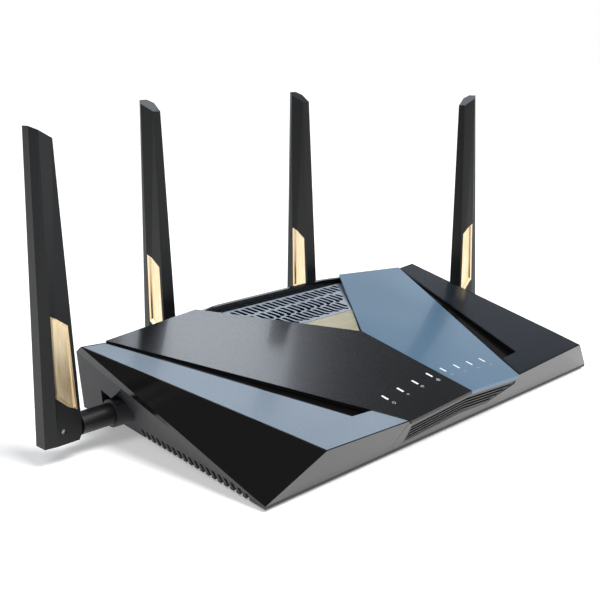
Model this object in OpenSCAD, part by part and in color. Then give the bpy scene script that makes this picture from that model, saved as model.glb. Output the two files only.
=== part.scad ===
// Four-antenna desktop wireless router.
// Millimetres, +Z up, +X to the right seen from the front, +Y towards the rear.
// Heights in the sections below are measured from the underside of the case.

/* [Case] */
// Width over the two side ridges
body_w = 300; // [280:1:360]
// Depth of the underside, front to rear
base_d = 154; // [135:1:190]
// Width between the two front corners of the top
front_w = 240; // [220:1:256]
// How far the side skirts slope in under each rear corner
skirt_in = 23; // [16:0.5:26]
// Height of the cheek between ridge and wing at the rear corner
cheek_h = 3.7; // [3:0.1:6]
// Height of the top at the front centre
nose_h = 23.8; // [22:0.1:28]
// How far the rear wall stands behind the rear edge of the top
rear_step = 4.8; // [3.5:0.1:8]
// Height of the joint between the two case halves at the front
joint_h = 1.6; // [1.2:0.1:2.5]
// Lean of the front face
front_rake = 26.6; // [15:0.1:30]
// Wall thickness of both case halves
wall = 2; // [1.6:0.1:2.4]
// Height of the rubber feet below the case
foot_h = 1.5; // [1:0.1:3]

/* [Top panels] */
// Slope of the main panels, front to rear
panel_pitch = 13.3; // [12.4:0.1:14.5]
// Fall of the main panels from the centre to the sides
panel_fall = 4.8; // [4:0.1:6]
// How much flatter the wing panels lie than the main panels
wing_flatter = 4.7; // [4.1:0.1:5.3]
// Rise of the wing panels towards the sides
wing_rise = 3.8; // [3:0.1:4.5]
// Depth of the front facets, measured on the underside
facet_d = 9; // [7:0.5:14]
// Width of a wing at the rear edge
wing_rear_w = 17; // [14:0.5:24]
// Half width of the main panels at the wing fold
knee_x = 61; // [58:1:66]
// Half width of the main panels at the front edge
valley_x = 52; // [46:1:56]
// Width of the groove beside the main panels at the wing fold
groove_w = 17; // [12:1:20]
// Depth of the groove at the wing fold
groove_depth = 3.5; // [2.5:0.1:4.5]
// Thickness of the main panels
panel_t = 2; // [1.6:0.1:2.4]
// Thickness of the wing panels
wing_t = 1.2; // [0.9:0.1:1.5]
// Black border of the case round each inlaid wing
border = 0.9; // [0.6:0.1:1.4]

/* [Vent recess] */
// Half width of the recess at the rear edge
recess_x = 66; // [60:1:72]
// Length of the recess from the rear edge to its point
recess_y = 79; // [72:1:86]
// Drop of the grille below the rear lip
grille_drop = 4.8; // [4:0.1:5.5]
// Fall of the grille towards the front
grille_pitch = 4.4; // [3.6:0.1:5]
// Thickness of the grille
grille_t = 1.6; // [1.2:0.1:2]
// Thickness of the walls round the recess
frame_t = 1.8; // [1.4:0.1:2.2]
// Distance of the badge from the rear edge of the top
badge_y = 49; // [46:1:52]
// Spacing of the grille slots across the grille
slot_gap = 4.6; // [4.4:0.1:5]
// Width of a grille slot
slot_w = 2.8; // [2:0.1:3]

/* [Side and front vents] */
// Spacing of the slots along each lower side edge
side_slot_gap = 5.6; // [5:0.1:6.5]
// Width of a side slot
side_slot_w = 2.8; // [2:0.1:3.2]
// Number of slots on each side
side_slots = 19; // [12:1:19]
// Half width of the front vent on the plain side
vent_left = 49; // [44:1:50]
// Half width of the front vent on the slanted side
vent_right = 52; // [46:1:53]
// Height of the front vent at the centre plane
vent_h = 12.5; // [10:0.5:13]
// Number of front vent slits
vent_slits = 5; // [3:1:5]

/* [Lights] */
// Spacing of the status lights
light_gap = 13.2; // [11:0.1:13.4]
// Length of a status light
light_l = 4.5; // [3:0.1:6]
// Width of a status light
light_w = 1.3; // [1:0.1:2]
// Distance of the lights behind the front of the underside
light_in = 11; // [10:0.5:14]

/* [Antennas] */
// Distance of the side antennas from the rear edge of the top
side_ant_y = 24.7; // [23:0.1:30]
// Height of the side antenna pivots
side_ant_z = 17; // [16.5:0.1:19]
// Half spacing of the two rear antennas
rear_ant_x = 65.7; // [64:0.1:67]
// Height of the rear antenna pivots
rear_ant_z = 22.8; // [22:0.1:26]
// Length of the blade above its pivot
blade_up = 160; // [120:1:192]
// Length of the blade below its pivot
blade_down = 7; // [6.6:0.1:8]
// Width of the blade at the foot
blade_w = 23; // [22:0.1:23.4]
// Width of the blade at the tip
tip_w = 13; // [11:0.1:16]
// Thickness of the blade at the foot
blade_t = 11; // [10.4:0.1:13]
// Thickness of the blade at the tip
tip_t = 10.4; // [9:0.1:11]
// Slant of the blade tip
tip_slant = 27; // [0:1:32]
// Length of a swivel sleeve
sleeve_l = 20; // [16:0.5:20]
// Radius of a swivel sleeve
sleeve_r = 6.3; // [6:0.1:6.5]
// Radius of a hinge pin
pin_r = 1.5; // [1.2:0.1:1.8]
// Thickness of the hinge tongue
tongue_t = 4.6; // [4:0.1:5]
// Radius of the connector stub that a sleeve turns on
stub_r = 3.2; // [2.8:0.1:3.6]

/* [Sockets and controls] */
// Height of the upper face of the board
board_z = 9; // [8:0.1:10]
// Thickness of the board
board_t = 1.6; // [1.2:0.1:2]
// Width of one network socket in the gang of four
jack_gap = 13.97; // [13.6:0.01:14.4]
// Height of the network socket housings
jack_h = 13.4; // [13:0.1:14]
// Depth of the network socket housings
jack_l = 21; // [18:1:24]
// Radius of a push button
button_r = 2.6; // [2.2:0.1:3]
// Travel of a push button
button_travel = 0.8; // [0.5:0.1:1]
// Tilt of the power rocker at rest
rocker_tilt = 7; // [5:0.5:8]

/* [Clearances] */
// Gap between inlaid pieces and their seats
fit = 0.15; // [0.1:0.05:0.2]
// Radial running clearance of pins, sleeves and buttons
run = 0.06; // [0.03:0.01:0.1]
// Gap round each socket in the rear wall
port_gap = 0.3; // [0.2:0.05:0.4]

/* [Hidden] */

$fn = 48;
big = 300;
half_w = body_w / 2;
front_y = rear_step - base_d;
rake = tan(front_rake);
fold_y = front_y + facet_d;
panel_rear_x = half_w - wing_rear_w;
wing_pitch = panel_pitch - wing_flatter;

// Surfaces of the top as functions of a point [x, y], for x >= 0.
nose_y = front_y - nose_h * rake;
panel_z = function(p)
    nose_h + (p.y - nose_y) * tan(panel_pitch) - p.x * tan(panel_fall);
knee = [knee_x, fold_y];
wing_z = function(p) panel_z(knee)
    + (p.y - fold_y) * tan(wing_pitch) + (p.x - knee_x) * tan(wing_rise);
// Where a surface of height z0 at y = 0 meets the leaning front face.
edge_y = function(z0, slope) (front_y - z0 * rake) / (1 + slope * rake);
valley = [valley_x, edge_y(panel_z([valley_x, 0]), tan(panel_pitch))];
facet_slope = (panel_z(valley) - wing_z([valley_x, fold_y])) / (valley.y - fold_y);
facet_z = function(p) wing_z([p.x, fold_y]) + (p.y - fold_y) * facet_slope;
corner_x = front_w / 2;
corner = [corner_x, edge_y(facet_z([corner_x, 0]), facet_slope)];
side_x = function(y) half_w + y * (half_w - corner_x) / -corner.y;
fold = [side_x(fold_y), fold_y];

// Ridge plane, where the two case halves meet.
ridge_h = wing_z([half_w, 0]) - cheek_h;
ridge_slope = (ridge_h - joint_h) / base_d;
ridge_z = function(p) joint_h + (p.y - front_y) * ridge_slope;
base_x = function(y) half_w - skirt_in * (y - front_y) / base_d;
skirt_x = function(y, z) base_x(y) + (half_w - base_x(y)) * z / ridge_z([0, y]);

lip_z = panel_z([recess_x, 0]) - 0.9;
grille_z = function(p) lip_z - grille_drop + p.y * tan(grille_pitch);
// The badge falls faster than the grille and stays just below the panels.
badge_x = recess_x * (1 - badge_y / recess_y);
badge_high = grille_z([0, -badge_y]);
badge_low = panel_z([0, -recess_y]) - 1.6;
badge_z = function(p)
    badge_low + (p.y + recess_y) * (badge_high - badge_low) / (recess_y - badge_y);
badge_t = 1;

// Antenna pivots [x, y, z, heading of the outward direction].
// The pivots stand a sleeve and half a blade away from the case.
reach = sleeve_l + blade_w / 2 + 1;
ant_x = half_w + reach;
ant_y = rear_step + reach;
antennas = [
    [-ant_x, -side_ant_y, side_ant_z, 180],
    [-rear_ant_x, ant_y, rear_ant_z, 90],
    [rear_ant_x, ant_y, rear_ant_z, 90],
    [ant_x, -side_ant_y, side_ant_z, 0]];
collar_r = 8;
collar_l = 16;
ear_h = ridge_z([0, rear_step]) - 13;
arch_drop = 12;
stub_out = 9;
stub_in = 8;
nut_t = 3;

// Blade section: outer and inner half widths, edge thicknesses, ridge offset.
blade_out = blade_w / 2 + 0.1;
blade_in = blade_w / 2 - 0.1;
foot_section = [blade_out, blade_in, 8.6, blade_t, 10.2, 4.5];
tip_section = [tip_w / 2 - 0.6, tip_w / 2 + 0.6, 5.7, tip_t, 5.2, 1.8];
channel = [[-9.5, 10], [3.5, 19.5], [3, 63.5], [-8, 57]];
channel_floor = 3.1;
insert_t = 0.7;

// Rear wall: [centre x, width, height], each standing on the board.
lan = [-8, 4 * jack_gap, jack_h];
wan = [34, 16, jack_h];
usb = [52, 13.2, 5.8];
dc = [112, 10, 11];
switch_at = [94, board_z + 7.5];
switch_size = [17, 12];
wps_at = [-84, board_z + 4.5];
wifi_at = [-98, board_z + 4.5];
reset_at = [-110, board_z + 4.5];
reset_r = 1.6;
rear_in = rear_step - wall;

// Screw and foot positions, for x >= 0.
screws = [[114, -40], [114, -118]];
screw_r = 1.4;
head_r = 2.8;
head_h = 1.8;
post_r = 4;
// Each post ends just under the joint of the halves, its screw head deep inside.
post_top = function(p) ridge_z([0, p.y]) - 1.5;
head_z = function(p) max(0.2, post_top(p) - 9.1);
feet = [[110, -12], [130, -128]];
foot_r = 8;
foot_seat = 0.5;
board = [200, 128];
board_y = -132;

// Puts the origin under the middle of the whole router.
module place()
    translate([0, -(nose_y + ant_y + blade_out) / 2, foot_h]) children();

module at_pivot(k) {
    a = antennas[k - 1];
    place() translate([a.x, a.y, a.z]) rotate([0, 0, a[3]]) children();
}

module both_sides() {
    children();
    mirror([1, 0, 0]) children();
}

// Closed solid between two outlines of as many points, lower then upper.
module loft(lower, upper) {
    n = len(lower);
    sides = [for (i = [0:n - 1]) let (j = (i + 1) % n)
        each [[i, n + i, n + j], [i, n + j, j]]];
    polyhedron(
        points = concat(lower, upper),
        faces = concat([[for (i = [0:n - 1]) i]],
                       [[for (i = [n - 1:-1:0]) n + i]], sides));
}

// Solid between two surfaces, on one outline or on a lower and an upper one.
module slab(plan, low, high, plan_high = undef) {
    top = is_undef(plan_high) ? plan : plan_high;
    loft([for (p = plan) [p.x, p.y, low(p)]],
         [for (p = top) [p.x, p.y, high(p)]]);
}

// ---------- Lower case ----------

module lower_outer() {
    plan = [[-half_w, front_y], [half_w, front_y],
            [half_w - skirt_in, rear_step], [skirt_in - half_w, rear_step]];
    rim = [[-half_w, front_y], [half_w, front_y],
           [half_w, rear_step], [-half_w, rear_step]];
    slab(plan, function(p) 0, ridge_z, rim);
    both_sides() ear();
}

// Ear behind each side antenna socket, almost upright below the ridge. It
// arches over the socket and dies out in the skirt ahead of it.
module ear() {
    lean = 0.077;
    section = function(y, drop) [
        [half_w - 14, y, ridge_z([0, y]) - max(drop - 8, 0.5)],
        [half_w - lean * drop, y, ridge_z([0, y]) - drop],
        [half_w, y, ridge_z([0, y])], [half_w - 14, y, ridge_z([0, y])]];
    behind = -side_ant_y + collar_r + 0.6;
    loft(section(rear_step, ear_h), section(behind, ear_h - 4.5));
    loft(section(behind, arch_drop), section(-side_ant_y - 1, arch_drop));
    loft(section(-side_ant_y - 1, arch_drop), section(-side_ant_y - 12, 1));
}

module lower_cavity() {
    y0 = front_y + 8;
    y1 = rear_in;
    side = wall * 1.2;
    x_low = function(y) skirt_x(y, wall) - side;
    floor_plan = [[-x_low(y0) + 2, y0], [x_low(y0) - 2, y0], [x_low(y1), y1], [-x_low(y1), y1]];
    rim_x = skirt_x(y1, ridge_h + 4) - side;
    rim_plan = [[-half_w + 3, y0], [half_w - 3, y0], [rim_x, y1], [-rim_x, y1]];
    slab(floor_plan, function(p) wall, function(p) ridge_z(p) + 4, rim_plan);
}

module side_slot_cuts() for (i = [0:side_slots - 1]) {
    y = -side_ant_y - 9 - i * side_slot_gap;
    h = min(6, 0.6 * ridge_z([0, y]));
    translate([base_x(y) - 4.5, y - side_slot_w / 2, -1]) cube([20, side_slot_w, h + 1]);
}

module port_cut(x, w, h, z = board_z)
    translate([x - w / 2 - port_gap, rear_in - 1, z - port_gap])
        cube([w + 2 * port_gap, wall + 2, h + 2 * port_gap]);

module button_cut(at, r)
    translate([at.x, rear_step + 1, at.y]) rotate([90, 0, 0])
        cylinder(r = r + run, h = wall + 2);

module lower_case() color("#2a2b2d") place() difference() {
    union() {
        difference() {
            lower_outer();
            lower_cavity();
        }
        both_sides() translate([half_w - 0.5, -side_ant_y, side_ant_z])
            rotate([0, -90, 0]) cylinder(r = collar_r, h = collar_l);
        both_sides() for (p = screws)
            translate([p.x, p.y, wall / 2]) cylinder(r = post_r, h = post_top(p) - wall / 2);
        for (x = [-80, 0, 80]) for (y = [board_y + 6, board_y + 70])
            translate([x, y, wall / 2]) cylinder(r = 3, h = board_z - board_t - wall / 2);
    }
    both_sides() side_slot_cuts();
    for (s = [lan, wan, usb, dc]) port_cut(s[0], s[1], s[2]);
    port_cut(switch_at.x, switch_size.x, switch_size.y, switch_at.y - switch_size.y / 2);
    button_cut(wps_at, button_r);
    button_cut(wifi_at, button_r);
    button_cut(reset_at, reset_r);
    both_sides() translate([half_w + 1, -side_ant_y, side_ant_z])
        rotate([0, -90, 0]) cylinder(r = stub_r + fit, h = 20);
    both_sides() translate([rear_ant_x, rear_step + 1, rear_ant_z])
        rotate([90, 0, 0]) cylinder(r = stub_r + fit, h = wall + 2);
    both_sides() for (p = screws) {
        translate([p.x, p.y, -1]) cylinder(r = screw_r + fit, h = post_top(p) + 2);
        translate([p.x, p.y, -1]) cylinder(r = head_r + fit, h = head_z(p) + head_h + 0.8 + fit);
    }
    both_sides() for (p = feet)
        translate([p.x, p.y, -1]) cylinder(r = foot_r + fit, h = 1 + foot_seat);
    for (i = [-7:7]) for (y = [-112, -62])
        translate([i * 11 - 2, y, -1]) cube([4, 36, wall + 2]);
}

// ---------- Upper case ----------

// Feet of the panel's side lines, carried on to the front face and rear wall.
front_foot = valley + (knee - valley) * (front_y - valley.y) / (fold_y - valley.y);
rear_foot = knee + ([panel_rear_x, 0] - knee) * (rear_step - fold_y) / -fold_y;

module upper_outer() both_sides() {
    // Block under the main panel, let 2 mm into its neighbours.
    let_in = 2;
    drop = panel_t + 0.05;
    front = function(x) [x, edge_y(panel_z([x, 0]) - drop, tan(panel_pitch))];
    slab([[0, front_y], front_foot + [let_in, 0], knee + [let_in, 0],
          rear_foot + [let_in, 0], [0, rear_step]],
         ridge_z, function(p) panel_z(p) - drop,
         [front(0), front(valley_x + let_in), knee + [let_in, 0],
          [panel_rear_x + let_in, 0], [0, 0]]);
    slab([knee, [half_w, fold_y], [half_w, rear_step], rear_foot],
         ridge_z, wing_z, [knee, fold, [half_w, 0], [panel_rear_x, 0]]);
    slab([front_foot, [half_w, front_y], [half_w, fold_y], knee],
         ridge_z, facet_z, [valley, corner, fold, knee]);
}

module upper_cavity() both_sides() {
    below = function(p) ridge_z(p) - 1;
    y0 = front_y + 3;
    slab([[-1, y0], [valley_x - 2, y0], knee + [-2, 3], [panel_rear_x - 3, rear_in], [-1, rear_in]],
         below, function(p) panel_z([max(p.x, 0), p.y]) - panel_t - wall,
         [[0, nose_y + 6], valley + [-2, 6], knee + [-2, 3], [panel_rear_x - 3, -2], [0, -2]]);
    slab([knee + [-9, 0], [half_w - 5, fold_y], [half_w - 3, rear_in], [panel_rear_x - 12, rear_in]],
         below, function(p) wing_z(p) - wing_t - wall
             - (groove_depth - wing_t) * p.y / fold_y,
         [knee + [-9, 0], fold + [-4, 0], [half_w - 4, -2], [panel_rear_x - 12, -2]]);
    slab([[valley_x - 10, y0], [half_w - 7, y0], [half_w - 5, fold_y + 1], knee + [-9, 1]],
         below, function(p) facet_z(p) - wing_t - wall,
         [valley + [-10, 6], corner + [-5, 6], fold + [-4, 1], knee + [-9, 1]]);
}

// Half width of the recess at y, with its walls moved outwards by g.
recess_w = function(y, g)
    recess_x * (1 + y / recess_y) + g * sqrt(1 + pow(recess_x / recess_y, 2));

// V-shaped recess, g outside its walls, down to one plane below the grille
// and one below the badge.
module recess(g, y_rear, grille_gap, badge_gap) {
    r = recess_x / recess_y;
    tip = [0, -recess_y - g * sqrt(1 + r * r) / r];
    w = recess_w(-badge_y, g);
    w_rear = recess_w(y_rear, g);
    slab([[-w, -badge_y], [w, -badge_y], [w_rear, y_rear], [-w_rear, y_rear]],
         function(p) grille_z(p) - grille_gap, function(p) big);
    slab([tip, [w, -badge_y], [-w, -badge_y]],
         function(p) badge_z(p) - badge_gap, function(p) big);
}

ledge_t = 1.4;
ledge_w = 1.6;

module upper_case() color("#141516") place() difference() {
    upper_outer();
    difference() {
        upper_cavity();
        // Tub round the recess, with the ledge that carries the grille.
        recess(frame_t, 3, grille_t + ledge_t, badge_t + ledge_t);
        // Bosses for the case screws.
        both_sides() for (p = screws)
            translate([p.x, p.y, 0]) cylinder(r = post_r, h = big);
    }
    both_sides() for (p = screws)
        translate([p.x, p.y, 0]) cylinder(r = screw_r - run, h = post_top(p) + 6);
    recess(0, -frame_t, grille_t, badge_t);
    grille_opening();
    translate([-recess_x, -frame_t - 1, lip_z]) cube([2 * recess_x, 20, 20]);
    both_sides() {
        wing_body(0, 5);
        groove();
    }
    vent_cut();
    light_cuts(fit + 0.1);
}

// Sunken wedge between a main panel and its wing.
module groove() {
    under = [-0.4, 0];
    rear = [panel_rear_x, 0];
    slab([knee + under, knee + [groove_w - 0.6, 0], rear + 0.02 * (knee - rear),
          rear + 0.02 * (knee - rear) + under],
         function(p) wing_z(p) - groove_depth * p.y / fold_y, function(p) big);
}

// Opening through which the air reaches the grille.
module grille_opening() {
    y0 = -badge_y + 3;
    y1 = -frame_t - ledge_w;
    w0 = recess_w(y0, -ledge_w);
    w1 = recess_w(y1, -ledge_w);
    slab([[-w0, y0], [w0, y0], [w1, y1], [-w1, y1]],
         function(p) grille_z(p) - grille_t - 20, grille_z);
}

// ---------- Inlaid wings ----------

// Wing and front facet, g inside their seats and rising h above the surface.
module wing_body(g, h) {
    inner = knee + [groove_w + g, 0];
    slab([inner, fold + [-border - g, 0], [half_w - border * 1.2 - g, -border - g],
          [panel_rear_x + 1 + g, -border - g]],
         function(p) wing_z(p) - wing_t + g / 8, function(p) wing_z(p) + h);
    slab([valley + [1.6 + g, border + g], corner + [-border - g, border + g],
          fold + [-border - g, 0], knee + [1.4 + g, 0]],
         function(p) facet_z(p) - wing_t + g / 8, function(p) facet_z(p) + h);
}

module wing_left() color("#8a9cae") place() mirror([1, 0, 0]) wing_body(fit, 0);
module wing_right() color("#38434f") place() wing_body(fit, 0);

// ---------- Main panels ----------

module main_panel() difference() {
    slab([[fit / 2, nose_y], valley, knee, [panel_rear_x, 0], [recess_x, 0],
          [fit / 2, -recess_y]],
         function(p) panel_z(p) - panel_t, panel_z);
    light_cuts(fit);
}

module panel_gloss() color("#3c4046") place() mirror([1, 0, 0]) main_panel();
module panel_blue() color("#6f8aa6") place() main_panel();

// ---------- Grille and badge ----------

module stroke(a, b) {
    d = b - a;
    translate(a) rotate(atan2(d.y, d.x)) translate([0, -slot_w / 2])
        square([norm(d), slot_w]);
    translate(b) circle(d = slot_w, $fn = 16);
    translate(a) circle(d = slot_w, $fn = 16);
}

module grille_slots() {
    row = (badge_y - frame_t - 5) / 3;
    for (j = [0:2]) for (i = [-13:13]) {
        x = i * slot_gap;
        y = -frame_t - 3 - j * row - (i % 2 == 0 ? 0 : 1.4);
        y_edge = -recess_y * (1 - (abs(x) + slot_w + 1.4) / recess_x);
        y_end = max(y - row + slot_w + 2.2, y_edge);
        if (y - y_end > 2) {
            stroke([x, y], [x, y_end]);
            if (y - y_end > row - 5)
                stroke([x, y_end], [x + (j == 1 ? -1 : 1) * slot_gap / 4, y_end - 1.4]);
        }
    }
}

module grille() color("#9aa5b4") place() difference() {
    slab([[-grille_x(-badge_y), -badge_y + fit], [grille_x(-badge_y), -badge_y + fit],
          [grille_x(-frame_t), -frame_t - fit], [-grille_x(-frame_t), -frame_t - fit]],
         function(p) grille_z(p) - grille_t + 0.02, grille_z);
    translate([0, 0, grille_z([0, 0]) - grille_t * 2]) linear_extrude(height = 12, center = true)
        grille_slots();
}

grille_x = function(y) recess_x * (1 + y / recess_y) - fit * 1.3;

module badge() color("#d9c48a") place() {
    y1 = -badge_y - fit;
    slab([[0, -recess_y + 1], [grille_x(y1), y1], [-grille_x(y1), y1]],
         function(p) badge_z(p) - badge_t + 0.02, badge_z);
}

// ---------- Lights and front vent ----------

module light_cuts(g) both_sides() for (i = [0:3])
    translate([(i + 0.5) * light_gap - light_w / 2 - g, front_y + light_in - g, board_z + 4])
        cube([light_w + 2 * g, light_l + 2 * g, 60]);

module light_pipes() color("#e8ecf0") place() both_sides() for (i = [0:3]) {
    x = (i + 0.5) * light_gap;
    y = front_y + light_in;
    w = light_w / 2;
    slab([[x - w, y], [x + w, y], [x + w, y + light_l], [x - w, y + light_l]],
         function(p) board_z + 1.2, function(p) panel_z(p) - 0.05);
}

// Local frame on the leaning front face: x, up the face, outwards.
module on_front() translate([0, front_y, 0]) rotate([90 + front_rake, 0, 0]) children();

vent_top = (nose_h - panel_t - 1.6) / cos(front_rake);
vent_fall = tan(panel_fall) / cos(front_rake);
module vent_outline() {
    low = vent_top - vent_h * 1.1;
    polygon([
        [-vent_left, low - vent_left * vent_fall], [0, low],
        [vent_right * 0.55, low - vent_right * 0.3 * vent_fall],
        [vent_right, vent_top - vent_right * vent_fall - 3],
        [vent_right, vent_top - vent_right * vent_fall], [0, vent_top],
        [-vent_left, vent_top - vent_left * vent_fall]]);
}

module vent_cut() on_front() translate([0, 0, -12]) linear_extrude(height = 20) vent_outline();

module front_vent() color("#1d1d1e") place() on_front()
    translate([0, 0, -2.6]) linear_extrude(height = 2) difference() {
        offset(delta = -fit) vent_outline();
        intersection() {
            offset(delta = -1.4) vent_outline();
            for (i = [0:vent_slits - 1]) {
                y = vent_top - 2.2 - i * (vent_h * 1.1 - 2) / vent_slits;
                polygon([[-80, y - 80 * vent_fall], [0, y], [80, y - 80 * vent_fall],
                         [80, y - 1.5 - 80 * vent_fall], [0, y - 1.5],
                         [-80, y - 1.5 - 80 * vent_fall]]);
            }
        }
    }

// ---------- Feet and screws ----------

module rubber_feet() color("#303030") place() both_sides() for (p = feet)
    translate([p.x, p.y, -foot_h]) cylinder(r = foot_r, h = foot_h + foot_seat);

module case_screws() color("#8b8e92") place() both_sides() for (p = screws)
    translate([p.x, p.y, head_z(p)]) difference() {
        union() {
            cylinder(r = head_r, h = head_h - 0.2);
            translate([0, 0, head_h - 0.3])
                cylinder(r = screw_r - run * 2, h = post_top(p) + 5.5 - head_z(p) - head_h + 0.3);
        }
        for (a = [0, 90]) rotate(a) translate([-1.6, -0.3, -0.2]) cube([3.2, 0.6, 1.2]);
    }

// ---------- Board and what stands on it ----------

module on_board(x, y) place() translate([x, y, board_z]) children();

module main_board() color("#1f5a3c") place()
    translate([-board.x / 2, board_y, board_z - board_t])
        cube([board.x, rear_in - 0.5 - board_y, board_t]);

module status_leds() color("#f4f1e0") both_sides() for (i = [0:3])
    on_board((i + 0.5) * light_gap, front_y + light_in + light_l / 2)
        translate([-0.8, -1.4, 0]) cube([1.6, 2.8, 0.8]);

module heat_sink() color("#a9adb1") on_board(0, -58) {
    translate([-34, -26, 1.4]) cube([68, 52, 3]);
    for (i = [-6:6]) translate([i * 5.3 - 0.7, -26, 4]) cube([1.4, 52, 14]);
}

module shield_cans() color("#c3c6c9") for (s = [[-68, -84, 40, 34], [68, -84, 40, 34],
                                                [-68, -42, 34, 26], [0, -58, 30, 30]])
    on_board(s.x, s.y) translate([-s[2] / 2, -s[3] / 2, 0])
        cube([s[2], s[3], s.x == 0 ? 1.4 : 3.2]);

// Housing with its mouth in the rear wall, w wide and h high.
module housing(s, l) on_board(s[0], rear_step - l) translate([-s[1] / 2, 0, 0])
    cube([s[1], l, s[2]]);

module jack_hole(x) on_board(x, rear_step - 15) {
    translate([-5.9, 0, 1.2]) cube([11.8, 20, 8]);
    translate([-3, 0, 9]) cube([6, 20, 1.6]);
    translate([-1.7, 0, 10.4]) cube([3.4, 20, 1.6]);
}

module lan_block() color("#3b3d40") difference() {
    housing(lan, jack_l);
    for (i = [-1.5:1.5]) jack_hole(lan[0] + i * jack_gap);
}

module wan_jack() color("#3a5f86") difference() {
    housing(wan, jack_l);
    jack_hole(wan[0]);
}

module usb_port() color("#b9bcbf") union() {
    difference() {
        housing(usb, 16);
        on_board(usb[0], rear_step - 14) translate([-usb[1] / 2 + 0.5, 0, 0.5])
            cube([usb[1] - 1, 20, usb[2] - 1]);
    }
    on_board(usb[0], rear_step - 15) translate([-5.5, 0, usb[2] / 2 + 0.1]) cube([11, 13, 1.6]);
}

module power_inlet() color("#26272a") difference() {
    housing(dc, 14);
    on_board(dc[0], rear_step + 1) translate([0, 0, dc[2] / 2]) rotate([90, 0, 0])
        difference() {
            cylinder(r = 3.15, h = 11);
            translate([0, 0, 2]) cylinder(r = 1.05, h = 10);
        }
}

// ---------- Power rocker ----------

rocker_y = rear_step - 3.4;
rocker_pin_r = 1.3;
module switch_frame() color("#1b1b1c") place() difference() {
    union() {
        translate([switch_at.x - switch_size.x / 2, rear_step - 11, switch_at.y - switch_size.y / 2])
            cube([switch_size.x, 11.1, switch_size.y]);
        translate([switch_at.x - switch_size.x / 2 - 1.2, rear_step + 0.02,
                   switch_at.y - switch_size.y / 2 - 1.2])
            cube([switch_size.x + 2.4, 1.1, switch_size.y + 2.4]);
    }
    translate([switch_at.x - switch_size.x / 2 + 1.6, rear_step - 9.4,
               switch_at.y - switch_size.y / 2 + 1])
        cube([switch_size.x - 3.2, 20, switch_size.y - 2]);
    translate([switch_at.x, rocker_y, switch_at.y]) rotate([0, 90, 0])
        cylinder(r = rocker_pin_r + run, h = switch_size.x - 1.2, center = true);
}

module power_rocker() color("#242424") place()
    translate([switch_at.x, rocker_y, switch_at.y]) rotate([rocker_tilt, 0, 0]) {
        w = switch_size.x - 3.2 - 0.6;
        rotate([90, 0, 90]) linear_extrude(height = w, center = true)
            polygon([[-2.4, -3.6], [2.6, -4.4], [4.3, -4.2], [3.4, 0], [4.3, 4.2],
                     [2.6, 4.4], [-2.4, 3.6]]);
        rotate([0, 90, 0]) cylinder(r = rocker_pin_r, h = switch_size.x - 1.8, center = true);
    }

// ---------- Push buttons ----------

// Button through the rear wall with a collar behind it and a stem to its switch.
module button(at, r, proud) place() translate([at.x, rear_step + proud, at.y])
    rotate([90, 0, 0]) {
        cylinder(r = r, h = wall + proud + 0.1);
        translate([0, 0, wall + proud + 0.05]) cylinder(r = r + 0.8, h = 1);
        translate([0, 0, wall + proud + 1]) cylinder(r = 1, h = 3);
    }

module wps_button() color("#2c2c2e") button(wps_at, button_r, 1);
module wifi_button() color("#2c2c2e") button(wifi_at, button_r, 1);
module reset_button() color("#8a1f1f") button(reset_at, reset_r, 0.9);

module key_switches() color("#b8babd") for (x = [wps_at.x, wifi_at.x, reset_at.x])
    on_board(x, rear_in - 4 - button_travel - 0.4 - 6)
        translate([-3, 0, 0]) cube([6, 6, 6.5]);

// ---------- Antennas ----------

module blade_outer(trim = 0) {
    section = function(s, z) [
        [s[0] - trim, -s[2] / 2 + trim, z], [s[0] - trim, s[2] / 2 - trim, z],
        [s[5], s[3] / 2 - trim, z], [-s[1] + trim, s[4] / 2 - trim, z],
        [-s[1] + trim, -s[4] / 2 + trim, z], [s[5], -s[3] / 2 + trim, z]];
    loft(section(foot_section, -blade_down), section(tip_section, blade_up));
}

// Channel on one wide face, moved inwards by g and starting at depth y.
module channel_body(g, y) {
    c = (channel[0] + channel[1] + channel[2] + channel[3]) / 4;
    inward = [[1, 0.4], [-1, 1], [-1, -1], [1, -0.9]];
    at = function(t) [for (i = [0:3]) channel[i] + inward[i] * (g + 1 - t)];
    low = at(0);
    high = at((8 - y) * 0.55);
    rotate([90, 0, 0]) mirror([0, 0, 1])
        loft([for (p = low) [p.x, p.y, y]], [for (p = high) [p.x, p.y, 8]]);
}

module both_faces() {
    children();
    mirror([0, 1, 0]) children();
}

module blade(k) color("#2b2c2f") at_pivot(k) difference() {
    blade_outer();
    slot = tongue_t / 2 + run * 3;
    gap = sleeve_r + 0.5;
    translate([-20, -slot, -20]) cube([20 + gap, 2 * slot, 20 + gap]);
    difference() {
        translate([-20, -20, -20]) cube([20, 40, 20]);
        rotate([90, 0, 0]) cylinder(r = blade_in, h = 40, center = true);
    }
    rotate([90, 0, 0]) cylinder(r = pin_r, h = 40, center = true);
    translate([-4.6, -1, gap - 1]) cube([9.2, 2, blade_up - gap - 16]);
    tip_cut();
    both_faces() channel_body(0, channel_floor);
}

// Slanted end of the blade, high on the outward side.
module tip_cut() translate([tip_section[0], 0, blade_up]) rotate([0, -tip_slant, 0])
    translate([-40, -20, 0]) cube([60, 40, 20]);

module gold_insert(k) color("#d9b56a") at_pivot(k) both_faces() intersection() {
    difference() {
        channel_body(fit / 2, channel_floor + 0.02);
        channel_body(fit / 2 + insert_t, channel_floor + insert_t);
    }
    blade_outer(0.1);
}

module radiator(k) color("#3d6b4c") at_pivot(k)
    translate([-4.3, -0.6, sleeve_r + 1]) cube([8.6, 1.2, blade_up - sleeve_r - 20]);

module hinge_pin(k) color("#9a9ca0") at_pivot(k) rotate([90, 0, 0])
    cylinder(r = pin_r, h = 8.4, center = true);

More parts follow.
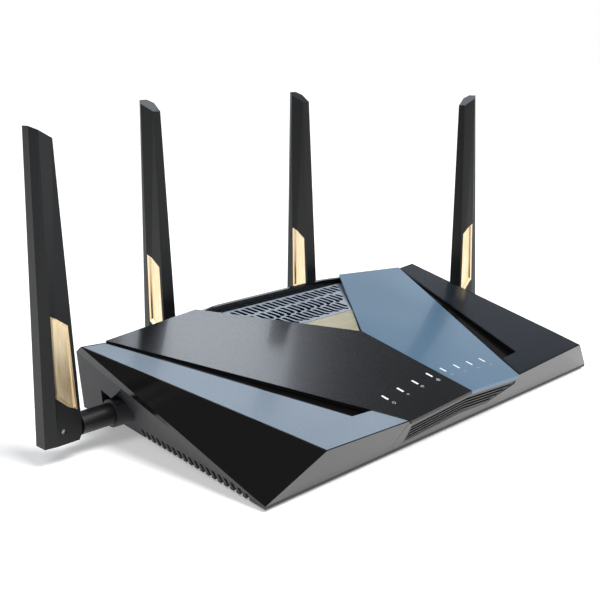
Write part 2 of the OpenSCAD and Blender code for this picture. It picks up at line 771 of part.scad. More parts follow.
sleeve_end = -(blade_in + 0.6);
module swivel(k) color("#1c1d1f") at_pivot(k) difference() {
    union() {
        translate([sleeve_end - sleeve_l, 0, 0]) rotate([0, 90, 0])
            cylinder(r = sleeve_r, h = sleeve_l);
        rotate([90, 0, 0]) cylinder(r = sleeve_r, h = tongue_t, center = true);
        translate([sleeve_end - 1, -tongue_t / 2, -sleeve_r + 0.6])
            cube([-sleeve_end + 1, tongue_t, 2 * sleeve_r - 1.2]);
    }
    rotate([90, 0, 0]) cylinder(r = pin_r + run, h = 20, center = true);
    translate([sleeve_end - sleeve_l - 1, 0, 0]) rotate([0, 90, 0])
        cylinder(r = stub_r + run, h = stub_out + 1.6);
}

// Distance from the pivot back to the face of the case, for antenna k.
face_at = function(k) (k == 1 || k == 4) ? reach + 0.5 : reach;
module connector(k) color("#c9b06a") at_pivot(k) {
    d = -face_at(k);
    inside = (k == 1 || k == 4) ? collar_l : wall;
    translate([d - inside - stub_in, 0, 0]) rotate([0, 90, 0])
        cylinder(r = stub_r, h = inside + stub_in + stub_out);
    translate([d - inside - nut_t - 0.05, 0, 0]) rotate([0, 90, 0])
        cylinder(r = 5, h = nut_t, $fn = 6);
}

module lead(k) color("#1a1a1a") at_pivot(k) {
    inside = (k == 1 || k == 4) ? collar_l : wall;
    d = -face_at(k) - inside - stub_in;
    bend = 4;
    drop = antennas[k - 1].z - board_z - bend;
    translate([d, 0, 0]) rotate([0, -90, 0]) cylinder(r = 0.7, h = 3);
    translate([d - 3, 0, -bend]) rotate([90, 0, 0]) rotate([0, 0, 90])
        rotate_extrude(angle = 90) translate([bend, 0]) circle(r = 0.7);
    translate([d - 3 - bend, 0, -bend - drop]) cylinder(r = 0.7, h = drop);
}

lower_case();
upper_case();
front_vent();
wing_left();
wing_right();
panel_gloss();
panel_blue();
grille();
badge();
light_pipes();
rubber_feet();
case_screws();
main_board();
status_leds();
heat_sink();
shield_cans();
lan_block();
wan_jack();
usb_port();
power_inlet();
switch_frame();
power_rocker();
wps_button();
wifi_button();
reset_button();
key_switches();
for (k = [1:4]) {
    connector(k);
    lead(k);
    swivel(k);
    hinge_pin(k);
    blade(k);
    gold_insert(k);
    radiator(k);
}
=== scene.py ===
import math

import bmesh
import bpy
from mathutils import Matrix, Vector


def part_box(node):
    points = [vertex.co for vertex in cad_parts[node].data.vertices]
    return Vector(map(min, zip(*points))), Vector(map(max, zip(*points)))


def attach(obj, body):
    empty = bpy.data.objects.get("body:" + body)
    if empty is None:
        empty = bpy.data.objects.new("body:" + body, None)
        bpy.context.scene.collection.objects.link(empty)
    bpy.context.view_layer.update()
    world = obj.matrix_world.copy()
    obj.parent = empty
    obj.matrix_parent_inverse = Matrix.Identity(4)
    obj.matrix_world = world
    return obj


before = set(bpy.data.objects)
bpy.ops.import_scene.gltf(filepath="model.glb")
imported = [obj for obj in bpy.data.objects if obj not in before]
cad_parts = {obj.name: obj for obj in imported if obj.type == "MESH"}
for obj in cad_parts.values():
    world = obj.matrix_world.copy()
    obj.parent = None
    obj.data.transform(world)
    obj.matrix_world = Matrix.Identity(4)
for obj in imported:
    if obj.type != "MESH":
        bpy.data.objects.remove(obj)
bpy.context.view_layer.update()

# ---------------------------------------------------------------------------
# Lower tray of the case.
# Injection-moulded black ABS with a spark-eroded texture, so it looks matt
# and slightly grey. It is screwed to the lid from below.
# ---------------------------------------------------------------------------


def linear(hex_colour):
    """sRGB hex to the linear colour a shader wants."""
    parts = [int(hex_colour[i : i + 2], 16) / 255 for i in (1, 3, 5)]
    return tuple(
        c / 12.92 if c <= 0.04045 else ((c + 0.055) / 1.055) ** 2.4 for c in parts
    ) + (1.0,)


def new_material(name):
    """An empty material with its shader and output, and the shader's node."""
    material = bpy.data.materials.new(name)
    material.use_nodes = True
    return material, material.node_tree.nodes["Principled BSDF"]


def add(material, kind, inputs=None, **settings):
    """Adds a node, sets its settings, and sets or links each of its inputs."""
    tree = material.node_tree
    node = tree.nodes.new(kind)
    for key, value in settings.items():
        setattr(node, key, value)
    for key, value in (inputs or {}).items():
        if isinstance(value, bpy.types.NodeSocket):
            tree.links.new(value, node.inputs[key])
        else:
            node.inputs[key].default_value = value
    return node


def link(material, out, into):
    material.node_tree.links.new(out, into)


# Spark-eroded ABS: the real texture is about 0.15 mm across, too fine to
# show, so it is drawn at 0.7 mm. It breaks up every reflection.
textured_abs, skin = new_material("textured_abs")
skin.inputs["Base Color"].default_value = linear("#26272A")
skin.inputs["IOR"].default_value = 1.53
place = add(textured_abs, "ShaderNodeTexCoord")
grain = add(
    textured_abs,
    "ShaderNodeTexNoise",
    {
        "Vector": place.outputs["Object"],
        "Scale": 1 / 0.0007,
        "Detail": 2.0,
        "Roughness": 0.55,
    },
)
rough = add(
    textured_abs,
    "ShaderNodeMapRange",
    {"Value": grain.outputs["Fac"], "To Min": 0.44, "To Max": 0.62},
)
link(textured_abs, rough.outputs["Result"], skin.inputs["Roughness"])
dents = add(
    textured_abs,
    "ShaderNodeBump",
    {"Height": grain.outputs["Fac"], "Strength": 0.35, "Distance": 0.00008},
)
link(textured_abs, dents.outputs["Normal"], skin.inputs["Normal"])


def finish_node(name, material):
    """Gives a solid of the frame its finish."""
    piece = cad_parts[name]
    piece.data.materials.clear()
    piece.data.materials.append(material)
    return piece


def soften_edges(name, width):
    """Moulded pieces have no knife edges: rounds them by width, in metres."""
    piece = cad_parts[name]
    weld = piece.modifiers.new("weld", "WELD")
    weld.merge_threshold = 1e-6
    edge = piece.modifiers.new("edge", "BEVEL")
    edge.width = width
    edge.segments = 2
    edge.limit_method = "ANGLE"
    edge.angle_limit = math.radians(20)
    shading = piece.modifiers.new("flat_faces", "WEIGHTED_NORMAL")
    shading.mode = "FACE_AREA"
    shading.weight = 100
    return piece


finish_node("lower_case", textured_abs)
soften_edges("lower_case", 0.00025)

# ---------------------------------------------------------------------------
# Rubber feet.
# Four round pads die-cut from black rubber sheet, glued into shallow seats
# in the underside.
# ---------------------------------------------------------------------------

# Cut rubber sheet: dull and slightly cloudy, with patches some 4 mm across.
cut_rubber, skin = new_material("cut_rubber")
skin.inputs["Roughness"].default_value = 0.82
skin.inputs["IOR"].default_value = 1.52
place = add(cut_rubber, "ShaderNodeTexCoord")
cloud = add(
    cut_rubber,
    "ShaderNodeTexNoise",
    {"Vector": place.outputs["Object"], "Scale": 1 / 0.004, "Detail": 3.0},
)
shade = add(cut_rubber, "ShaderNodeValToRGB", {"Fac": cloud.outputs["Fac"]})
shade.color_ramp.elements[0].color = linear("#1A1A1A")
shade.color_ramp.elements[1].color = linear("#2A2A2A")
link(cut_rubber, shade.outputs["Color"], skin.inputs["Base Color"])
finish_node("rubber_feet", cut_rubber)
soften_edges("rubber_feet", 0.0003)

# ---------------------------------------------------------------------------
# Lid of the case, with its cheeks and leaning front face.
# Black ABS moulded in a polished tool: piano gloss on the cheeks and the
# border round the inlays, with a faint orange peel.
# ---------------------------------------------------------------------------

# Polished ABS: orange peel is a swell some 6 mm across and a few microns
# high. It bends reflections slightly without dulling them.
polished_abs, skin = new_material("polished_abs")
skin.inputs["Base Color"].default_value = linear("#0C0C0D")
skin.inputs["Roughness"].default_value = 0.12
skin.inputs["IOR"].default_value = 1.53
place = add(polished_abs, "ShaderNodeTexCoord")
peel = add(
    polished_abs,
    "ShaderNodeTexNoise",
    {"Vector": place.outputs["Object"], "Scale": 1 / 0.006, "Detail": 1.0},
)
swell = add(
    polished_abs,
    "ShaderNodeBump",
    {"Height": peel.outputs["Fac"], "Strength": 0.12, "Distance": 0.00004},
)
link(polished_abs, swell.outputs["Normal"], skin.inputs["Normal"])
finish_node("upper_case", polished_abs)
soften_edges("upper_case", 0.0002)

# ---------------------------------------------------------------------------
# Front vent insert.
# Satin black moulding with chevron slits, snapped into the window of the
# front face a little below its surface.
# ---------------------------------------------------------------------------

# Satin ABS from a lightly blasted tool: mid roughness, an even soft sheen.
satin_abs, skin = new_material("satin_abs")
skin.inputs["Base Color"].default_value = linear("#131315")
skin.inputs["IOR"].default_value = 1.53
skin.inputs["Specular IOR Level"].default_value = 0.35
place = add(satin_abs, "ShaderNodeTexCoord")
frost = add(
    satin_abs,
    "ShaderNodeTexNoise",
    {"Vector": place.outputs["Object"], "Scale": 1 / 0.0009, "Detail": 2.0},
)
rough = add(
    satin_abs,
    "ShaderNodeMapRange",
    {"Value": frost.outputs["Fac"], "To Min": 0.3, "To Max": 0.42},
)
link(satin_abs, rough.outputs["Result"], skin.inputs["Roughness"])
finish_node("front_vent", satin_abs)

# ---------------------------------------------------------------------------
# Inlaid wings, one on each side.
# Thin injection-moulded plates with a metallic blue-grey lacquer under clear
# coat, glued into pockets of the lid; the right one is much darker.
# ---------------------------------------------------------------------------


def lacquer(name, low, high, roughness, coat):
    """Lacquered plate: a base coat that drifts between two tones over some
    60 mm, fine flakes, and a clear coat on top."""
    material, skin = new_material(name)
    skin.inputs["IOR"].default_value = 1.5
    skin.inputs["Coat Weight"].default_value = coat
    skin.inputs["Coat Roughness"].default_value = 0.1
    place = add(material, "ShaderNodeTexCoord")
    drift = add(
        material,
        "ShaderNodeTexNoise",
        {"Vector": place.outputs["Object"], "Scale": 1 / 0.06, "Detail": 1.0},
    )
    flakes = add(
        material,
        "ShaderNodeTexVoronoi",
        {"Vector": place.outputs["Object"], "Scale": 1 / 0.0005},
    )
    tone = add(material, "ShaderNodeValToRGB", {"Fac": drift.outputs["Fac"]})
    tone.color_ramp.elements[0].position = 0.3
    tone.color_ramp.elements[1].position = 0.7
    tone.color_ramp.elements[0].color = linear(low)
    tone.color_ramp.elements[1].color = linear(high)
    link(material, tone.outputs["Color"], skin.inputs["Base Color"])
    rough = add(
        material,
        "ShaderNodeMapRange",
        {
            "Value": flakes.outputs["Distance"],
            "To Min": roughness - 0.04,
            "To Max": roughness + 0.05,
        },
    )
    link(material, rough.outputs["Result"], skin.inputs["Roughness"])
    return material


pale_lacquer = lacquer("blue_grey_lacquer", "#7A8998", "#8694A3", 0.24, 0.4)
finish_node("wing_left", pale_lacquer)
soften_edges("wing_left", 0.0002)
night_lacquer = lacquer("night_blue_lacquer", "#131920", "#1A222B", 0.22, 0.4)
finish_node("wing_right", night_lacquer)
soften_edges("wing_right", 0.0002)

# ---------------------------------------------------------------------------
# Main panels, meeting on the centre line.
# Two millimetre plates: the left one is black lacquer, the right one is
# steel-blue lacquer. Both carry a clear coat with a satin glow.
# ---------------------------------------------------------------------------

black_lacquer = lacquer("black_lacquer", "#0F1012", "#141518", 0.28, 0.3)
finish_node("panel_gloss", black_lacquer)
soften_edges("panel_gloss", 0.00025)
steel_blue_lacquer = lacquer("steel_blue_lacquer", "#46667F", "#50708A", 0.3, 0.3)
finish_node("panel_blue", steel_blue_lacquer)
soften_edges("panel_blue", 0.00025)

# ---------------------------------------------------------------------------
# Status lights and the marks beside them.
# Eight clear acrylic light pipes end flush in the panels. In front of each
# stands a small pad-printed mark in pale grey ink, here plain shapes.
# ---------------------------------------------------------------------------

# Frosted acrylic: milky, faintly lit from below by its LED.
frosted_acrylic, skin = new_material("frosted_acrylic")
skin.inputs["Base Color"].default_value = linear("#DDE3E8")
skin.inputs["Roughness"].default_value = 0.35
skin.inputs["IOR"].default_value = 1.49
skin.inputs["Emission Color"].default_value = linear("#DCE8F2")
skin.inputs["Emission Strength"].default_value = 0.35
place = add(frosted_acrylic, "ShaderNodeTexCoord")
haze = add(
    frosted_acrylic,
    "ShaderNodeTexNoise",
    {"Vector": place.outputs["Object"], "Scale": 1 / 0.0012},
)
milk = add(
    frosted_acrylic,
    "ShaderNodeBump",
    {"Height": haze.outputs["Fac"], "Strength": 0.2, "Distance": 0.00005},
)
link(frosted_acrylic, milk.outputs["Normal"], skin.inputs["Normal"])
finish_node("light_pipes", frosted_acrylic)


def top_plane(name):
    """A point on the large upper face of a plate, and its normal."""
    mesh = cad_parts[name].data
    face = max((f for f in mesh.polygons if f.normal.z > 0.9), key=lambda f: f.area)
    return face.center.copy(), face.normal.copy()


def printed_ink(name, low, high):
    """Pad-printed ink: matt, with a density that varies over half a
    millimetre where the pad left it."""
    material, skin = new_material(name)
    skin.inputs["Roughness"].default_value = 0.5
    place = add(material, "ShaderNodeTexCoord")
    speck = add(
        material,
        "ShaderNodeTexNoise",
        {"Vector": place.outputs["Object"], "Scale": 1 / 0.0005},
    )
    tone = add(material, "ShaderNodeValToRGB", {"Fac": speck.outputs["Fac"]})
    tone.color_ramp.elements[0].color = linear(low)
    tone.color_ramp.elements[1].color = linear(high)
    link(material, tone.outputs["Color"], skin.inputs["Base Color"])
    return material


def ring(radius, width, start=0.0, turn=360.0):
    """Outline of a ring or of part of one, as quads in the plane."""
    steps = 20
    outer = radius + width
    quads = []
    for i in range(steps):
        a = math.radians(start + turn * i / steps)
        b = math.radians(start + turn * (i + 1) / steps)
        corners = ((radius, a), (outer, a), (outer, b), (radius, b))
        quads.append([(r * math.cos(t), r * math.sin(t)) for r, t in corners])
    return quads


def bar(x0, y0, x1, y1):
    """Upright rectangle between two corners, as one quad."""
    return [[(x0, y0), (x1, y0), (x1, y1), (x0, y1)]]


# The marks, drawn in millimetres about their own middle: a broken ring with
# a bar, two sets of arcs over a dot, a ring with a cross in it, and an open
# box with a peg for each network socket.
power_mark = ring(0.95, 0.28, 120, 300) + bar(-0.15, 0.3, 0.15, 1.5)
narrow_arcs = ring(0.7, 0.25, 45, 90) + ring(1.3, 0.25, 45, 90) + bar(-0.2, -0.2, 0.2, 0.2)
wide_arcs = narrow_arcs + ring(1.9, 0.25, 45, 90)
globe_mark = ring(1.1, 0.25) + bar(-1.1, -0.12, 1.1, 0.12) + bar(-0.12, -1.1, 0.12, 1.1)
socket_mark = (
    bar(-1.0, -0.8, 1.0, -0.5)
    + bar(-1.0, -0.5, -0.7, 0.8)
    + bar(0.7, -0.5, 1.0, 0.8)
    + bar(-0.25, 0.1, 0.25, 0.8)
)
marks = [power_mark, narrow_arcs, wide_arcs, globe_mark] + [socket_mark] * 4

pipes_low, pipes_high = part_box("light_pipes")
pipe_w = 0.0013
pitch = (pipes_high[0] - pipes_low[0] - pipe_w) / 7
mark_gap = 0.0042  # from the front end of a pipe to the middle of its mark
mark_scale = 0.0009  # a mark is printed at nine tenths of its drawn size
ink_above = 0.00004
ink_below = 0.00006  # the print is keyed a little into the lacquer
for side, plate, ink in (
    ("left", "panel_gloss", printed_ink("pale_ink", "#B9BDC2", "#D5D8DB")),
    ("right", "panel_blue", printed_ink("dim_ink", "#8F9CAA", "#A4B0BC")),
):
    point, normal = top_plane(plate)
    mesh = bmesh.new()
    for i in range(4):
        k = i if side == "left" else i + 4
        x0 = pipes_low[0] + pipe_w / 2 + k * pitch
        y0 = pipes_low[1] - mark_gap
        for quad in marks[k]:
            top, foot = [], []
            for x, y in quad:
                px, py = x0 + x * mark_scale, y0 + y * mark_scale
                fall = ((px - point.x) * normal.x + (py - point.y) * normal.y) / normal.z
                pz = point.z - fall
                top.append(mesh.verts.new((px, py, pz + ink_above)))
                foot.append(mesh.verts.new((px, py, pz - ink_below)))
            mesh.faces.new(top)
            mesh.faces.new(foot[::-1])
            for a in range(4):
                b = (a + 1) % 4
                mesh.faces.new((foot[a], foot[b], top[b], top[a]))
    data = bpy.data.meshes.new("printed_marks_" + side)
    mesh.normal_update()
    mesh.to_mesh(data)
    mesh.free()
    printed = bpy.data.objects.new("printed_marks_" + side, data)
    bpy.context.scene.collection.objects.link(printed)
    data.materials.append(ink)
    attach(printed, "case")

# ---------------------------------------------------------------------------
# Grille in the V-shaped recess.
# Blue-grey painted moulding, pierced by staggered bent slots that let warm
# air out above the heat sink.
# ---------------------------------------------------------------------------

# Satin paint over black ABS: soft sheen, with a mist of overspray some 2 mm
# wide. The walls of the slots get painted shade: they fade to near black.
satin_paint_and_slot_shade, skin = new_material("satin_paint_and_slot_shade")
skin.inputs["IOR"].default_value = 1.5
place = add(satin_paint_and_slot_shade, "ShaderNodeTexCoord")
mist = add(
    satin_paint_and_slot_shade,
    "ShaderNodeTexNoise",
    {"Vector": place.outputs["Object"], "Scale": 1 / 0.002, "Detail": 2.0},
)
tone = add(satin_paint_and_slot_shade, "ShaderNodeValToRGB", {"Fac": mist.outputs["Fac"]})
tone.color_ramp.elements[0].color = linear("#8E99A9")
tone.color_ramp.elements[1].color = linear("#9DA8B7")
# Painted shade in the slots: faces that do not point upward fade to near black, and only upward faces
# keep the paint colour.
facing = add(satin_paint_and_slot_shade, "ShaderNodeNewGeometry")
upward = add(satin_paint_and_slot_shade, "ShaderNodeSeparateXYZ", {"Vector": facing.outputs["True Normal"]})
slot_shade_mask = add(
    satin_paint_and_slot_shade,
    "ShaderNodeMapRange",
    {"Value": upward.outputs["Z"], "From Min": 0.5, "From Max": 0.8},
)
# Mixes the paint colour with the near-black painted shade of the slot walls.
coat = add(
    satin_paint_and_slot_shade,
    "ShaderNodeMix",
    {
        "Factor": slot_shade_mask.outputs["Result"],
        "A": linear("#0C0C0D"),
        "B": tone.outputs["Color"],
    },
    data_type="RGBA",
)
link(satin_paint_and_slot_shade, coat.outputs["Result"], skin.inputs["Base Color"])
rough = add(
    satin_paint_and_slot_shade,
    "ShaderNodeMapRange",
    {"Value": mist.outputs["Fac"], "To Min": 0.32, "To Max": 0.45},
)
link(satin_paint_and_slot_shade, rough.outputs["Result"], skin.inputs["Roughness"])
finish_node("grille", satin_paint_and_slot_shade)
soften_edges("grille", 0.00015)

# ---------------------------------------------------------------------------
# Badge plate at the point of the recess.
# Thin aluminium, brushed across and gold anodised. It is left plain.
# ---------------------------------------------------------------------------


def brushed_gold(name, low, high, length, width, along):
    """Gold anodised aluminium: hairlines of the given length and width, in
    metres, with the sheen drawn out across them."""
    material, skin = new_material(name)
    skin.inputs["Metallic"].default_value = 1.0
    place = add(material, "ShaderNodeTexCoord")
    size = [1 / length if axis == along else 1 / width for axis in "XYZ"]
    stretch = add(
        material,
        "ShaderNodeMapping",
        {"Vector": place.outputs["Object"], "Scale": size},
    )
    hairs = add(
        material,
        "ShaderNodeTexNoise",
        {"Vector": stretch.outputs["Vector"], "Scale": 1.0, "Detail": 3.0},
    )
    tone = add(material, "ShaderNodeValToRGB", {"Fac": hairs.outputs["Fac"]})
    tone.color_ramp.elements[0].position = 0.3
    tone.color_ramp.elements[1].position = 0.7
    tone.color_ramp.elements[0].color = linear(low)
    tone.color_ramp.elements[1].color = linear(high)
    link(material, tone.outputs["Color"], skin.inputs["Base Color"])
    rough = add(
        material,
        "ShaderNodeMapRange",
        {"Value": hairs.outputs["Fac"], "To Min": 0.24, "To Max": 0.44},
    )
    link(material, rough.outputs["Result"], skin.inputs["Roughness"])
    lines = add(
        material,
        "ShaderNodeBump",
        {"Height": hairs.outputs["Fac"], "Strength": 0.25, "Distance": 0.00003},
    )
    link(material, lines.outputs["Normal"], skin.inputs["Normal"])
    return material


finish_node("badge", brushed_gold("brushed_gold_plate", "#EFE0AE", "#FFF8E0", 0.02, 0.0004, "X"))
soften_edges("badge", 0.00015)

# ---------------------------------------------------------------------------
# Board, heat sink, cans and screws inside.
# Green solder-masked laminate carrying tin-plated cans and a black anodised
# extruded sink; steel screws hold the case halves together.
# ---------------------------------------------------------------------------

# Solder mask over copper tracks: glossy green with paler lines 0.4 mm wide.
solder_mask, skin = new_material("solder_mask")
skin.inputs["Roughness"].default_value = 0.3
place = add(solder_mask, "ShaderNodeTexCoord")
tracks = add(
    solder_mask,
    "ShaderNodeTexBrick",
    {
        "Vector": place.outputs["Object"],
        "Scale": 1 / 0.006,
        "Color1": linear("#12492C"),
        "Color2": linear("#0E3D25"),
        "Mortar": linear("#2C6B45"),
        "Mortar Size": 0.03,
    },
)
link(solder_mask, tracks.outputs["Color"], skin.inputs["Base Color"])
for name in ("main_board", "radiator_1", "radiator_2", "radiator_3", "radiator_4"):
    finish_node(name, solder_mask)


def drawn_metal(name, hex_colour, roughness, spread, scale):
    """Bare or plated metal whose polish varies over a patch of that size."""
    material, skin = new_material(name)
    skin.inputs["Metallic"].default_value = 1.0
    skin.inputs["Base Color"].default_value = linear(hex_colour)
    place = add(material, "ShaderNodeTexCoord")
    patch = add(
        material,
        "ShaderNodeTexNoise",
        {"Vector": place.outputs["Object"], "Scale": 1 / scale, "Detail": 3.0},
    )
    rough = add(
        material,
        "ShaderNodeMapRange",
        {
            "Value": patch.outputs["Fac"],
            "To Min": roughness - spread,
            "To Max": roughness + spread,
        },
    )
    link(material, rough.outputs["Result"], skin.inputs["Roughness"])
    return material


# Black anodised aluminium; tin plate on pressed steel; zinc on steel.
black_anodised = drawn_metal("black_anodised", "#1B1B1D", 0.5, 0.06, 0.003)
tin_plate = drawn_metal("tin_plate", "#C9CACC", 0.3, 0.08, 0.002)
zinc_plate = drawn_metal("zinc_plate", "#A7A9AC", 0.34, 0.06, 0.001)
finish_node("heat_sink", black_anodised)
for name in ("shield_cans", "usb_port", "key_switches"):
    finish_node(name, tin_plate)
for name in ("case_screws", "hinge_pin_1", "hinge_pin_2", "hinge_pin_3", "hinge_pin_4"):
    finish_node(name, zinc_plate)

# Moulded LED bodies: cream epoxy with a slightly uneven gloss.
cream_epoxy = lacquer("cream_epoxy", "#E9E3C6", "#F2EDD6", 0.3, 0.0)
finish_node("status_leds", cream_epoxy)

# ---------------------------------------------------------------------------
# Network sockets, power inlet, buttons and rocker in the rear wall.
# Moulded PBT and ABS housings soldered to the board behind openings in the
# tray; the internet socket is blue and the reset button red.
# ---------------------------------------------------------------------------


def moulded(name, low, high, roughness):
    """Plain moulding whose tone drifts by a hair over some 5 mm."""
    material, skin = new_material(name)
    skin.inputs["Roughness"].default_value = roughness
    skin.inputs["IOR"].default_value = 1.55
    place = add(material, "ShaderNodeTexCoord")
    drift = add(
        material,
        "ShaderNodeTexNoise",
        {"Vector": place.outputs["Object"], "Scale": 1 / 0.005, "Detail": 2.0},
    )
    tone = add(material, "ShaderNodeValToRGB", {"Fac": drift.outputs["Fac"]})
    tone.color_ramp.elements[0].color = linear(low)
    tone.color_ramp.elements[1].color = linear(high)
    link(material, tone.outputs["Color"], skin.inputs["Base Color"])
    return material


grey_pbt = moulded("grey_pbt", "#2C2E31", "#36383B", 0.45)
finish_node("lan_block", grey_pbt)
finish_node("wan_jack", moulded("blue_pbt", "#1F4A77", "#285A8C", 0.42))
finish_node("power_inlet", moulded("black_pbt", "#131314", "#1B1B1D", 0.4))
button_abs = moulded("button_abs", "#222224", "#2B2B2D", 0.38)
for name in ("wps_button", "wifi_button", "power_rocker"):
    finish_node(name, button_abs)
    soften_edges(name, 0.00015)
finish_node("reset_button", moulded("red_abs", "#7A1717", "#8E1F1F", 0.38))
finish_node("switch_frame", satin_abs)

# Contacts: eight gold-flashed springs, 0.44 mm wide and 1.02 mm apart, lean
# up from the floor of each socket.
spring_gold = drawn_metal("spring_gold", "#D9B15A", 0.22, 0.05, 0.001)
springs_per_socket = 8
spring_pitch = 0.00102
spring_half_w = 0.00022
spring_t = 0.0003
# Side view of a spring: steps in y and z from its rear end, in metres.
spring_path = [(0, 0.0004), (0.0068, 0.0034), (0.0074, 0.0034), (0.0112, 0.0004)]
spring_section = [
    (-spring_half_w, 0),
    (spring_half_w, 0),
    (spring_half_w, spring_t),
    (-spring_half_w, spring_t),
]
spring_depth = 0.0135  # from the mouth of the socket to the rear end
spring_floor = 0.0012
for name, count in (("lan_block", 4), ("wan_jack", 1)):
    low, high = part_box(name)
    width = (high[0] - low[0]) / count
    mesh = bmesh.new()
    for socket in range(count):
        middle = low[0] + width * (socket + 0.5)
        for i in range(springs_per_socket):
            x = middle + (i - (springs_per_socket - 1) / 2) * spring_pitch
            y, z = high[1] - spring_depth, low[2] + spring_floor
            rows = []
            for dy, rise in spring_path:
                rows.append(
                    [
                        mesh.verts.new((x + dx, y + dy, z + rise + dz))
                        for dx, dz in spring_section
                    ]
                )
            for a, b in zip(rows, rows[1:]):
                for j in range(4):
                    mesh.faces.new((a[j], a[(j + 1) % 4], b[(j + 1) % 4], b[j]))
            mesh.faces.new(rows[0][::-1])
            mesh.faces.new(rows[-1])
    bmesh.ops.recalc_face_normals(mesh, faces=mesh.faces)
    data = bpy.data.meshes.new(name + "_contacts")
    mesh.to_mesh(data)
    mesh.free()
    springs = bpy.data.objects.new(name + "_contacts", data)
    bpy.context.scene.collection.objects.link(springs)
    data.materials.append(spring_gold)
    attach(springs, "case")

# ---------------------------------------------------------------------------
# Antennas: connector, lead, swivel sleeve and hinged blade.
# Blades are satin charcoal ABS shells over a printed radiator. A gold
# anodised lining lies in the channel on each wide face.
# ---------------------------------------------------------------------------

# Gold flash on turned brass.
gold_flash = drawn_metal("gold_flash", "#C9A150", 0.25, 0.05, 0.001)
# Cable jacket: extruded black FEP, smooth with a low shine.
black_fep = moulded("black_fep", "#0C0C0D", "#151516", 0.35)
# Charcoal ABS from a blasted tool: satin, darker than the tray of the case.
# The blasting is 0.2 mm across and is drawn at 0.9 mm.
charcoal_abs, skin = new_material("charcoal_abs")
skin.inputs["IOR"].default_value = 1.53
skin.inputs["Specular IOR Level"].default_value = 0.3
place = add(charcoal_abs, "ShaderNodeTexCoord")
blast = add(
    charcoal_abs,
    "ShaderNodeTexNoise",
    {"Vector": place.outputs["Object"], "Scale": 1 / 0.0009, "Detail": 2.0},
)
tone = add(charcoal_abs, "ShaderNodeValToRGB", {"Fac": blast.outputs["Fac"]})
tone.color_ramp.elements[0].color = linear("#0B0C0E")
tone.color_ramp.elements[1].color = linear("#0F1012")
link(charcoal_abs, tone.outputs["Color"], skin.inputs["Base Color"])
rough = add(
    charcoal_abs,
    "ShaderNodeMapRange",
    {"Value": blast.outputs["Fac"], "To Min": 0.34, "To Max": 0.46},
)
link(charcoal_abs, rough.outputs["Result"], skin.inputs["Roughness"])
bumps = add(
    charcoal_abs,
    "ShaderNodeBump",
    {"Height": blast.outputs["Fac"], "Strength": 0.15, "Distance": 0.00004},
)
link(charcoal_abs, bumps.outputs["Normal"], skin.inputs["Normal"])

gold_lining = brushed_gold("brushed_gold_lining", "#EBCB92", "#FFF1D6", 0.012, 0.0005, "Z")
for k in range(1, 5):
    finish_node(f"connector_{k}", gold_flash)
    finish_node(f"lead_{k}", black_fep)
    finish_node(f"swivel_{k}", satin_abs)
    soften_edges(f"swivel_{k}", 0.0003)
    finish_node(f"blade_{k}", charcoal_abs)
    soften_edges(f"blade_{k}", 0.0003)
    finish_node(f"gold_insert_{k}", gold_lining)

# ---------------------------------------------------------------------------
# Table top, lights and camera.
# A plain white table, a broad soft key from the left, a fill from the front,
# an even light from above and a small box behind that the left panel mirrors.
# ---------------------------------------------------------------------------

# Opal acrylic, lit faintly from below so the shadows stay pale.
white_sweep, skin = new_material("white_sweep")
skin.inputs["Base Color"].default_value = linear("#F7F7F7")
skin.inputs["Roughness"].default_value = 0.9
skin.inputs["Specular IOR Level"].default_value = 0.0
skin.inputs["Emission Color"].default_value = linear("#FFFFFF")
skin.inputs["Emission Strength"].default_value = 0.3
place = add(white_sweep, "ShaderNodeTexCoord")
fibre = add(white_sweep, "ShaderNodeTexNoise", {"Vector": place.outputs["Object"], "Scale": 40.0})
tooth = add(
    white_sweep,
    "ShaderNodeBump",
    {"Height": fibre.outputs["Fac"], "Strength": 0.02, "Distance": 0.0005},
)
link(white_sweep, tooth.outputs["Normal"], skin.inputs["Normal"])
data = bpy.data.meshes.new("sweep")
reach = 12.0
corners = [(-reach, -reach, 0), (reach, -reach, 0), (reach, reach, 0), (-reach, reach, 0)]
data.from_pydata(corners, [], [(0, 1, 2, 3)])
sweep = bpy.data.objects.new("sweep", data)
bpy.context.scene.collection.objects.link(sweep)
data.materials.append(white_sweep)

# The room: a white backdrop that the eye sees all round, while the glossy
# pieces mirror a tent that is bright and bluish only low behind the router.
room = bpy.data.worlds.new("studio_room")
bpy.context.scene.world = room
room.use_nodes = True
tent = room.node_tree.nodes["Background"]
backdrop = add(room, "ShaderNodeBackground", {"Color": (1.0, 1.0, 1.0, 1.0), "Strength": 1.0})
coords = add(room, "ShaderNodeTexCoord")
behind = add(
    room,
    "ShaderNodeVectorMath",
    {0: coords.outputs["Generated"], 1: (0.72, 0.69, 0.0)},
    operation="DOT_PRODUCT",
)
height = add(room, "ShaderNodeSeparateXYZ", {"Vector": coords.outputs["Generated"]})
low = add(
    room,
    "ShaderNodeMapRange",
    {
        "Value": height.outputs["Z"],
        "From Min": 0.31,
        "From Max": 0.50,
        "To Min": 1.0,
        "To Max": 0.0,
    },
    interpolation_type="SMOOTHSTEP",
)
rear = add(
    room,
    "ShaderNodeMapRange",
    {
        "Value": behind.outputs["Value"],
        "From Min": 0.1,
        "From Max": 0.6,
        "To Min": 0.0,
        "To Max": 1.0,
    },
    interpolation_type="SMOOTHSTEP",
)
both = add(
    room,
    "ShaderNodeMath",
    {0: low.outputs["Result"], 1: rear.outputs["Result"]},
    operation="MULTIPLY",
)
tint = add(
    room,
    "ShaderNodeMix",
    {
        "Factor": both.outputs["Value"],
        "A": (0.13, 0.13, 0.135, 1.0),
        "B": (0.86, 0.93, 1.0, 1.0),
    },
    data_type="RGBA",
)
link(room, tint.outputs["Result"], tent.inputs["Color"])
tent.inputs["Strength"].default_value = 1.0
seen = add(room, "ShaderNodeLightPath")
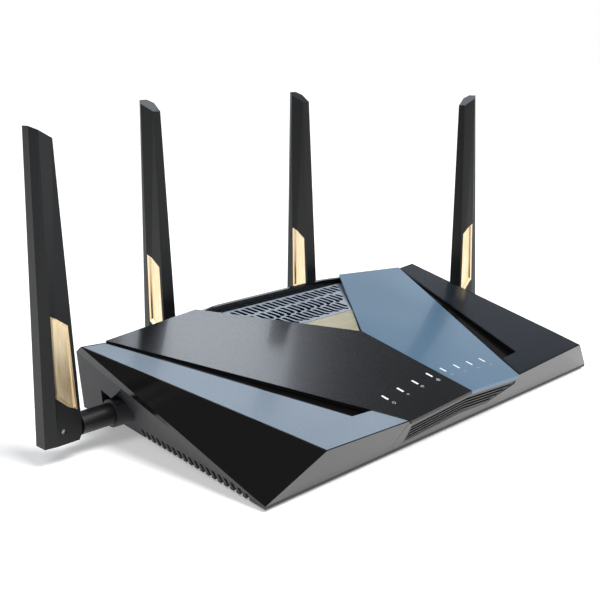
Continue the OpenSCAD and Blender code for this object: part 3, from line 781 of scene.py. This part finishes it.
either = add(room, "ShaderNodeMixShader", {"Fac": seen.outputs["Is Camera Ray"]})
link(room, tent.outputs["Background"], either.inputs[1])
link(room, backdrop.outputs["Background"], either.inputs[2])
link(room, either.outputs["Shader"], room.node_tree.nodes["World Output"].inputs["Surface"])


def soft_light(name, place, aim, size, power, colour="#FFFFFF"):
    """Square softbox at place, turned towards aim, both in metres."""
    lamp = bpy.data.lights.new(name, "AREA")
    lamp.shape = "SQUARE"
    lamp.size = size
    lamp.energy = power
    lamp.color = linear(colour)[:3]
    box = bpy.data.objects.new(name, lamp)
    box.location = place
    turn = (Vector(aim) - Vector(place)).to_track_quat("-Z", "Y")
    box.rotation_euler = turn.to_euler()
    bpy.context.scene.collection.objects.link(box)
    return box


soft_light("key_left", (-1.5, -0.7, 1.9), (0, 0, 0.05), 1.1, 16)
soft_light("fill_front", (0.9, -1.9, 1.3), (0, 0, 0.05), 1.2, 8)
soft_light("glow_back", (0.53, 0.61, 0.88), (-0.08, 0.0, 0.045), 0.30, 1.5, "#E8F0FA")
sky_lamp = bpy.data.lights.new("even_top", "SUN")
sky_lamp.energy = 2.6
sky_lamp.angle = math.radians(25)
even_top = bpy.data.objects.new("even_top", sky_lamp)
even_top.rotation_euler = (math.radians(30), math.radians(10), 0)
bpy.context.scene.collection.objects.link(even_top)

eye = bpy.data.cameras.new("studio_camera")
eye.sensor_width = 36.0
eye.lens = 59.64
eye.clip_end = 60.0
camera = bpy.data.objects.new("studio_camera", eye)
bpy.context.scene.collection.objects.link(camera)
stand = Vector((-0.4450, -0.4095, 0.2111))
look = Vector((0.6904, 0.6821, -0.2412)).normalized()
level = look.cross(Vector((0, 0, 1))).normalized()
above = level.cross(look).normalized()
roll = math.radians(-0.8)
across = level * math.cos(roll) + above * math.sin(roll)
upward = above * math.cos(roll) - level * math.sin(roll)
camera.matrix_world = Matrix.Translation(stand) @ Matrix((across, upward, -look)).transposed().to_4x4()
bpy.context.scene.camera = camera
bpy.context.scene.view_settings.view_transform = "Standard"
